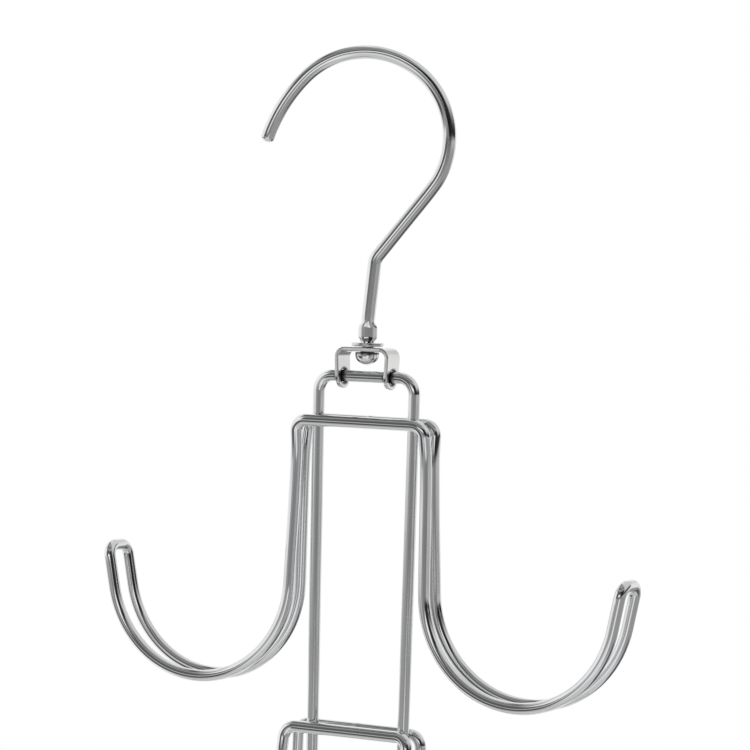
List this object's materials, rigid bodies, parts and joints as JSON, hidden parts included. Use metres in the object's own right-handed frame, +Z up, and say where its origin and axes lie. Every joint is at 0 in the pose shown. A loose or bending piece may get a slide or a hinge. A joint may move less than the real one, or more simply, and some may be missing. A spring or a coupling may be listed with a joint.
{
  "type": "rotating accessory hanger",
  "caption": "Chromed wire hanger for belts, scarves and ties: a welded frame with tiers of open hairpin hooks rocks and turns freely under a swivel rod hook.",
  "frame": {"origin": "the place inside the top of the rod hook's arc where the rod bears", "axes": "+X along the hanger's bars, +Y to its back, +Z up"},
  "size_m": [0.177, 0.0263, 0.2808],
  "materials": {
    "hook_chrome": "bright chrome plate",
    "washer_zinc": "zinc plated steel",
    "saddle_nickel": "bright nickel plate",
    "frame_chrome": "bright chrome plate",
    "upper_chrome": "bright chrome plate",
    "lower_chrome": "bright chrome plate"
  },
  "bodies": {
    "hook": {"swivel_hook": "hook_chrome", "swivel_washer": "washer_zinc"},
    "saddle": {"swivel_saddle": "saddle_nickel"},
    "hanger": {"frame_loop": "frame_chrome", "upper_double_hook": "upper_chrome", "lower_double_hook": "lower_chrome"}
  },
  "joints": [
    {"name": "saddle_swivel", "type": "hinge", "parent": "hook", "child": "saddle", "pos_m": [0.00208, 0.00097, -0.0925], "axis": [0, 0, 1], "continuous": true},
    {"name": "frame_rock", "type": "hinge", "parent": "saddle", "child": "hanger", "pos_m": [0.00208, 0.00097, -0.0925], "axis": [1, 0, 0], "range_deg": [-140, 140]}
  ]
}
